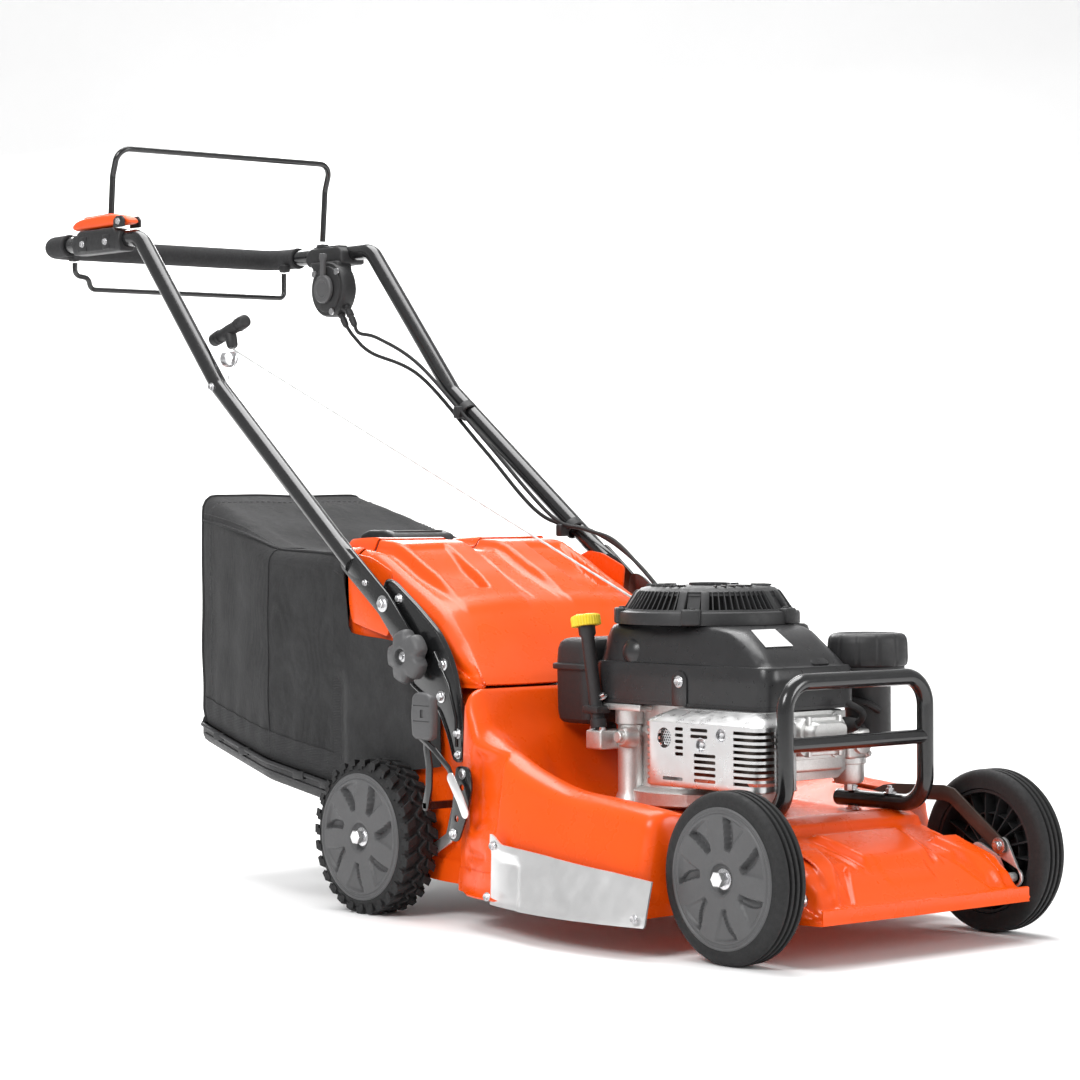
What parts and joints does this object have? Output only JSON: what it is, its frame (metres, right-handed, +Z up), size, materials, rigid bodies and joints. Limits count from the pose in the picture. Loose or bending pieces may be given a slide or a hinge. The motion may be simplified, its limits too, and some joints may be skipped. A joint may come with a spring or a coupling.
{
  "type": "walk-behind lawn mower",
  "caption": "Self-propelled walk-behind rotary lawn mower with petrol engine, folding handle, height adjustment and rear grass collector.",
  "frame": {"origin": "on the ground under the middle of the whole machine", "axes": "+Z up, the mower drives towards -Y, its right-hand side is -X"},
  "size_m": [0.5906, 1.633, 1.071],
  "materials": {
    "deck_shell": "gloss orange paint",
    "rear_cover": "satin orange plastic",
    "side_skirt_right": "satin silver",
    "side_skirt_left": "satin silver",
    "handle_plate_right": "satin black powder coat",
    "handle_plate_left": "satin black powder coat",
    "rear_baffle": "satin black powder coat",
    "height_quadrant": "satin black powder coat",
    "front_guard": "satin black powder coat",
    "drive_belt": "matt black rubber",
    "engine_block": "cast",
    "valve_cover": "cast",
    "muffler": "bare steel",
    "muffler_guard": "bright sheet",
    "fan_shroud": "black moulded plastic",
    "recoil_housing": "black moulded plastic",
    "fuel_tank": "black moulded plastic",
    "carburettor": "cast",
    "air_cleaner_base": "black moulded plastic",
    "oil_filler_tube": "black moulded plastic",
    "crankshaft": "bare steel",
    "flywheel": "cast",
    "blade_hub": "bare steel",
    "blade": "bare steel",
    "recoil_pulley": "grey moulded plastic",
    "fuel_cap": "black moulded plastic",
    "oil_cap": "yellow plastic",
    "air_cleaner_cover": "black moulded plastic",
    "front_crank": "bare steel",
    "link_bar": "bare steel",
    "rear_axle": "bare steel",
    "gearbox": "black moulded plastic",
    "gearbox_pulley": "grey moulded plastic",
    "tyre_front_right": "matt black rubber",
    "rim_front_right": "grey moulded plastic",
    "tyre_front_left": "matt black rubber",
    "rim_front_left": "grey moulded plastic",
    "tyre_rear_right": "matt black rubber",
    "rim_rear_right": "grey moulded plastic",
    "tyre_rear_left": "matt black rubber",
    "rim_rear_left": "grey moulded plastic",
    "handlebar": "satin black powder coat",
    "grip": "black foam",
    "lever_mount": "black moulded plastic",
    "control_box": "black moulded plastic",
    "throttle_cable": "black sheath",
    "brake_cable": "black sheath",
    "starter_rope": "braided light grey",
    "starter_handle": "black moulded plastic",
    "knob_right": "black moulded plastic",
    "knob_left": "black moulded plastic",
    "blade_bail": "satin black powder coat",
    "drive_bail": "satin black powder coat",
    "lock_lever": "satin orange plastic",
    "throttle_lever": "black moulded plastic",
    "discharge_flap": "satin orange plastic",
    "bag_fabric": "dark woven polyester",
    "bag_tray": "black moulded plastic",
    "bag_frame": "bare steel",
    "bag_handle": "black moulded plastic"
  },
  "bodies": {
    "chassis": {"deck_shell": "deck_shell", "rear_cover": "rear_cover", "side_skirt_right": "side_skirt_right", "side_skirt_left": "side_skirt_left", "handle_plate_right": "handle_plate_right", "handle_plate_left": "handle_plate_left", "rear_baffle": "rear_baffle", "height_quadrant": "height_quadrant", "front_guard": "front_guard", "drive_belt": "drive_belt", "engine_block": "engine_block", "valve_cover": "valve_cover", "muffler": "muffler", "muffler_guard": "muffler_guard", "fan_shroud": "fan_shroud", "recoil_housing": "recoil_housing", "fuel_tank": "fuel_tank", "carburettor": "carburettor", "air_cleaner_base": "air_cleaner_base", "oil_filler_tube": "oil_filler_tube"},
    "rotor": {"crankshaft": "crankshaft", "flywheel": "flywheel", "blade_hub": "blade_hub", "blade": "blade"},
    "recoil": {"recoil_pulley": "recoil_pulley"},
    "fuel_cap": {"fuel_cap": "fuel_cap"},
    "oil_cap": {"oil_cap": "oil_cap"},
    "air_cleaner_cover": {"air_cleaner_cover": "air_cleaner_cover"},
    "front_crank": {"front_crank": "front_crank"},
    "link_bar": {"link_bar": "link_bar"},
    "rear_crank": {"rear_axle": "rear_axle", "gearbox": "gearbox"},
    "gearbox_pulley": {"gearbox_pulley": "gearbox_pulley"},
    "wheel_front_right": {"tyre_front_right": "tyre_front_right", "rim_front_right": "rim_front_right"},
    "wheel_front_left": {"tyre_front_left": "tyre_front_left", "rim_front_left": "rim_front_left"},
    "wheel_rear_right": {"tyre_rear_right": "tyre_rear_right", "rim_rear_right": "rim_rear_right"},
    "wheel_rear_left": {"tyre_rear_left": "tyre_rear_left", "rim_rear_left": "rim_rear_left"},
    "handle": {"handlebar": "handlebar", "grip": "grip", "lever_mount": "lever_mount", "control_box": "control_box", "throttle_cable": "throttle_cable", "brake_cable": "brake_cable", "starter_rope": "starter_rope"},
    "starter_handle": {"starter_handle": "starter_handle"},
    "knob_right": {"knob_right": "knob_right"},
    "knob_left": {"knob_left": "knob_left"},
    "blade_bail": {"blade_bail": "blade_bail"},
    "drive_bail": {"drive_bail": "drive_bail"},
    "lock_lever": {"lock_lever": "lock_lever"},
    "throttle_lever": {"throttle_lever": "throttle_lever"},
    "discharge_flap": {"discharge_flap": "discharge_flap"},
    "collector": {"bag_fabric": "bag_fabric", "bag_tray": "bag_tray", "bag_frame": "bag_frame", "bag_handle": "bag_handle"}
  },
  "joints": [
    {"name": "rotor_spin", "type": "hinge", "parent": "chassis", "child": "rotor", "pos_m": [0, -0.435, 0.2], "axis": [0, 0, 1], "continuous": true},
    {"name": "rear_height", "type": "hinge", "parent": "chassis", "child": "rear_crank", "pos_m": [0, -0.108, 0.075], "axis": [1, 0, 0], "range_deg": [-18, 20], "deforming": ["drive_belt"]},
    {"name": "front_height", "type": "hinge", "parent": "chassis", "child": "front_crank", "pos_m": [0, -0.775, 0.075], "axis": [1, 0, 0], "range_deg": [-18, 20]},
    {"name": "link_swing", "type": "hinge", "parent": "front_crank", "child": "link_bar", "pos_m": [0, -0.755, 0.1125], "axis": [1, 0, 0], "range_deg": [-20, 18]},
    {"name": "gearbox_input_spin", "type": "hinge", "parent": "rear_crank", "child": "gearbox_pulley", "pos_m": [0, -0.085, 0.14], "axis": [0, 0, 1], "continuous": true},
    {"name": "wheel_front_right_spin", "type": "hinge", "parent": "front_crank", "child": "wheel_front_right", "pos_m": [-0.223, -0.715, 0.1015], "axis": [1, 0, 0], "continuous": true},
    {"name": "wheel_front_left_spin", "type": "hinge", "parent": "front_crank", "child": "wheel_front_left", "pos_m": [0.223, -0.715, 0.1015], "axis": [1, 0, 0], "continuous": true},
    {"name": "wheel_rear_right_spin", "type": "hinge", "parent": "rear_crank", "child": "wheel_rear_right", "pos_m": [-0.237, -0.048, 0.1015], "axis": [1, 0, 0], "continuous": true},
    {"name": "wheel_rear_left_spin", "type": "hinge", "parent": "rear_crank", "child": "wheel_rear_left", "pos_m": [0.237, -0.048, 0.1015], "axis": [1, 0, 0], "continuous": true},
    {"name": "handle_fold", "type": "hinge", "parent": "chassis", "child": "handle", "pos_m": [0, -0.121, 0.339], "axis": [1, 0, 0], "range_deg": [0, 105], "deforming": ["throttle_cable", "brake_cable", "starter_rope"]},
    {"name": "starter_pull", "type": "slide", "parent": "handle", "child": "starter_handle", "axis": [0, 0.3, 0.9539], "range_m": [0, 0.45], "stiffness_N_per_m": 8, "springref_m": -0.5, "deforming": ["starter_rope"]},
    {"name": "recoil_spin", "type": "hinge", "parent": "chassis", "child": "recoil", "pos_m": [0, -0.435, 0.398], "axis": [0, 0, 1], "range_deg": [0, 520]},
    {"name": "knob_right_turn", "type": "hinge", "parent": "handle", "child": "knob_right", "pos_m": [-0.24, -0.121, 0.339], "axis": [1, 0, 0], "continuous": true},
    {"name": "knob_left_turn", "type": "hinge", "parent": "handle", "child": "knob_left", "pos_m": [0.24, -0.121, 0.339], "axis": [1, 0, 0], "continuous": true},
    {"name": "blade_bail_swing", "type": "hinge", "parent": "handle", "child": "blade_bail", "pos_m": [0, 0.65, 0.948], "axis": [1, 0, 0], "range_deg": [-95, 0], "stiffness_Nm_per_rad": 0.3, "springref_deg": 28.65},
    {"name": "drive_bail_swing", "type": "hinge", "parent": "handle", "child": "drive_bail", "pos_m": [0, 0.752, 0.904], "axis": [1, 0, 0], "range_deg": [0, 62], "stiffness_Nm_per_rad": 0.15, "springref_deg": -22.92},
    {"name": "lock_lever_tilt", "type": "hinge", "parent": "handle", "child": "lock_lever", "pos_m": [-0.2135, 0.575, 0.95], "axis": [1, 0, 0], "range_deg": [0, 15], "stiffness_Nm_per_rad": 0.1, "springref_deg": -17.19},
    {"name": "throttle_turn", "type": "hinge", "parent": "handle", "child": "throttle_lever", "pos_m": [0.1675, 0.612, 0.871], "axis": [1, 0, 0], "range_deg": [-35, 35]},
    {"name": "flap_swing", "type": "hinge", "parent": "chassis", "child": "discharge_flap", "pos_m": [0, 0.064, 0.4875], "axis": [1, 0, 0], "range_deg": [0, 65], "stiffness_Nm_per_rad": 0.5, "springref_deg": -28.65},
    {"name": "collector_lift_off", "type": "slide", "parent": "chassis", "child": "collector", "axis": [0, 0.9701, 0.2425], "range_m": [0, 0.42]},
    {"name": "fuel_cap_turn", "type": "hinge", "parent": "chassis", "child": "fuel_cap", "pos_m": [0.035, -0.283, 0.3633], "axis": [0, 0, 1], "range_deg": [0, 180]},
    {"name": "oil_cap_turn", "type": "hinge", "parent": "chassis", "child": "oil_cap", "pos_m": [-0.111, -0.327, 0.38], "axis": [0, 0.1769, 0.9842], "range_deg": [0, 270]},
    {"name": "air_cover_turn", "type": "hinge", "parent": "chassis", "child": "air_cleaner_cover", "pos_m": [0.118, -0.6, 0.3313], "axis": [0, 0, 1], "range_deg": [0, 30]}
  ],
  "couplings": [
    {"joint": "front_height", "follows": "rear_height", "ratio": 1},
    {"joint": "link_swing", "follows": "rear_height", "ratio": -1},
    {"joint": "gearbox_input_spin", "follows": "rotor_spin", "ratio": 0.6667},
    {"joint": "recoil_spin", "follows": "starter_pull", "rad_per_m": 20}
  ]
}
